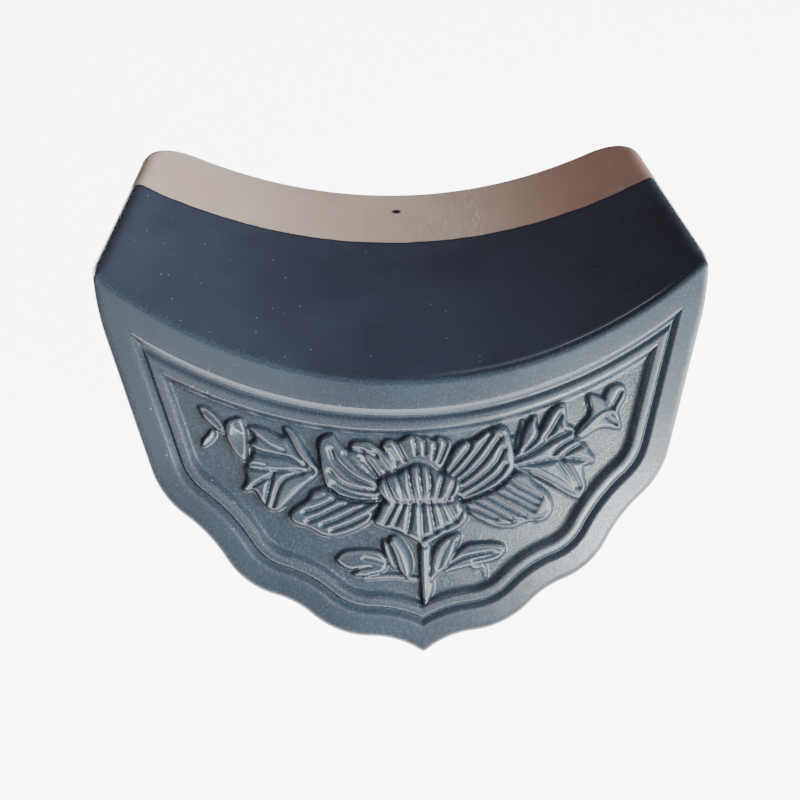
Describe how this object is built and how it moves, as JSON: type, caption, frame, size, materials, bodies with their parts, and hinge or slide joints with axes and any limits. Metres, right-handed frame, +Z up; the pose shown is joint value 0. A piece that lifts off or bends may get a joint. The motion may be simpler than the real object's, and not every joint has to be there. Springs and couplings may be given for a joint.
{
  "type": "glazed roof drip tile",
  "caption": "Dished eaves tile whose front turns down into a lobed hanging face with a stepped border and a peony in low relief; sheds rain clear of the wall.",
  "frame": {"origin": "middle of the flat bedding strip that runs along the under side of the trough, on its surface", "axes": "+Z is up, out of the hollow of the trough; the trough runs along Y, its rear toward +Y and the hanging face toward -Y; X is across the tile, and the tile's middle plane is X = 0"},
  "size_m": [0.225, 0.1984, 0.1167],
  "materials": {
    "glazed_clay": "satin"
  },
  "bodies": {
    "root": {"drip_tile": "glazed_clay"}
  },
  "joints": []
}
